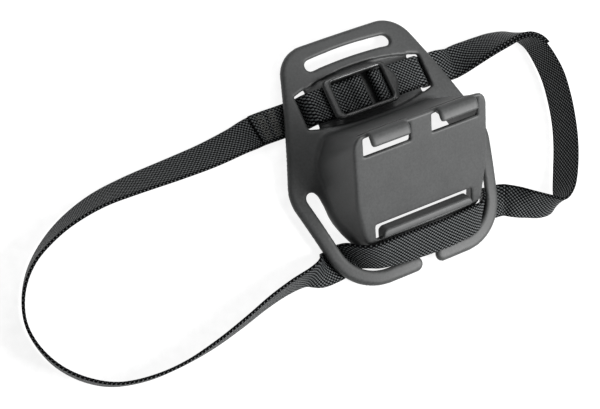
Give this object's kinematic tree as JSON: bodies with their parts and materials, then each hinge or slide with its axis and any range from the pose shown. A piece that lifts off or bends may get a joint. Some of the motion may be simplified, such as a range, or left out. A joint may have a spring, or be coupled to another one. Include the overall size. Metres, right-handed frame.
{
  "type": "headlamp mounting plate",
  "caption": "Curved plastic plate with a hollow sloping block, hooks and a latch for a lamp, a strap slot, and a webbing loop closed by a ladder buckle.",
  "frame": {"origin": "on the table, below the middle of the plate", "axes": "+X to the right across the plate, +Y along the plate to its end with the strap slot, +Z away from the table, out of the plate's front"},
  "size_m": [0.2866, 0.115, 0.0528],
  "materials": {
    "moulded_plastic": "finely textured black moulding",
    "buckle_plastic": "smooth black moulding",
    "webbing": "black woven webbing",
    "thread": "grey sewing thread"
  },
  "bodies": {
    "plate": {"base_plate": "moulded_plastic", "left_arm": "moulded_plastic", "right_arm": "moulded_plastic", "mount_block": "moulded_plastic", "left_hook": "moulded_plastic", "right_hook": "moulded_plastic", "strap_sewn_end": "webbing", "stitching": "thread", "strap_left_loop": "webbing", "strap_front_run": "webbing", "strap_right_loop": "webbing", "strap_load_run": "webbing", "strap_return_run": "webbing", "strap_tail": "webbing"},
    "latch": {"latch_tongue": "moulded_plastic"},
    "buckle": {"buckle": "buckle_plastic", "strap_turn_a": "webbing", "strap_turn_b": "webbing"}
  },
  "joints": [
    {"name": "latch_flex", "type": "hinge", "parent": "plate", "child": "latch", "pos_m": [0, -0.03673, 0.01453], "axis": [-1, 0, 0], "range_deg": [0, 12], "stiffness_Nm_per_rad": 0.2},
    {"name": "buckle_tilt", "type": "hinge", "parent": "plate", "child": "buckle", "pos_m": [-0.0213, 0.02826, 0.01127], "axis": [0, -0.9945, 0.1044], "range_deg": [0, 35]}
  ]
}
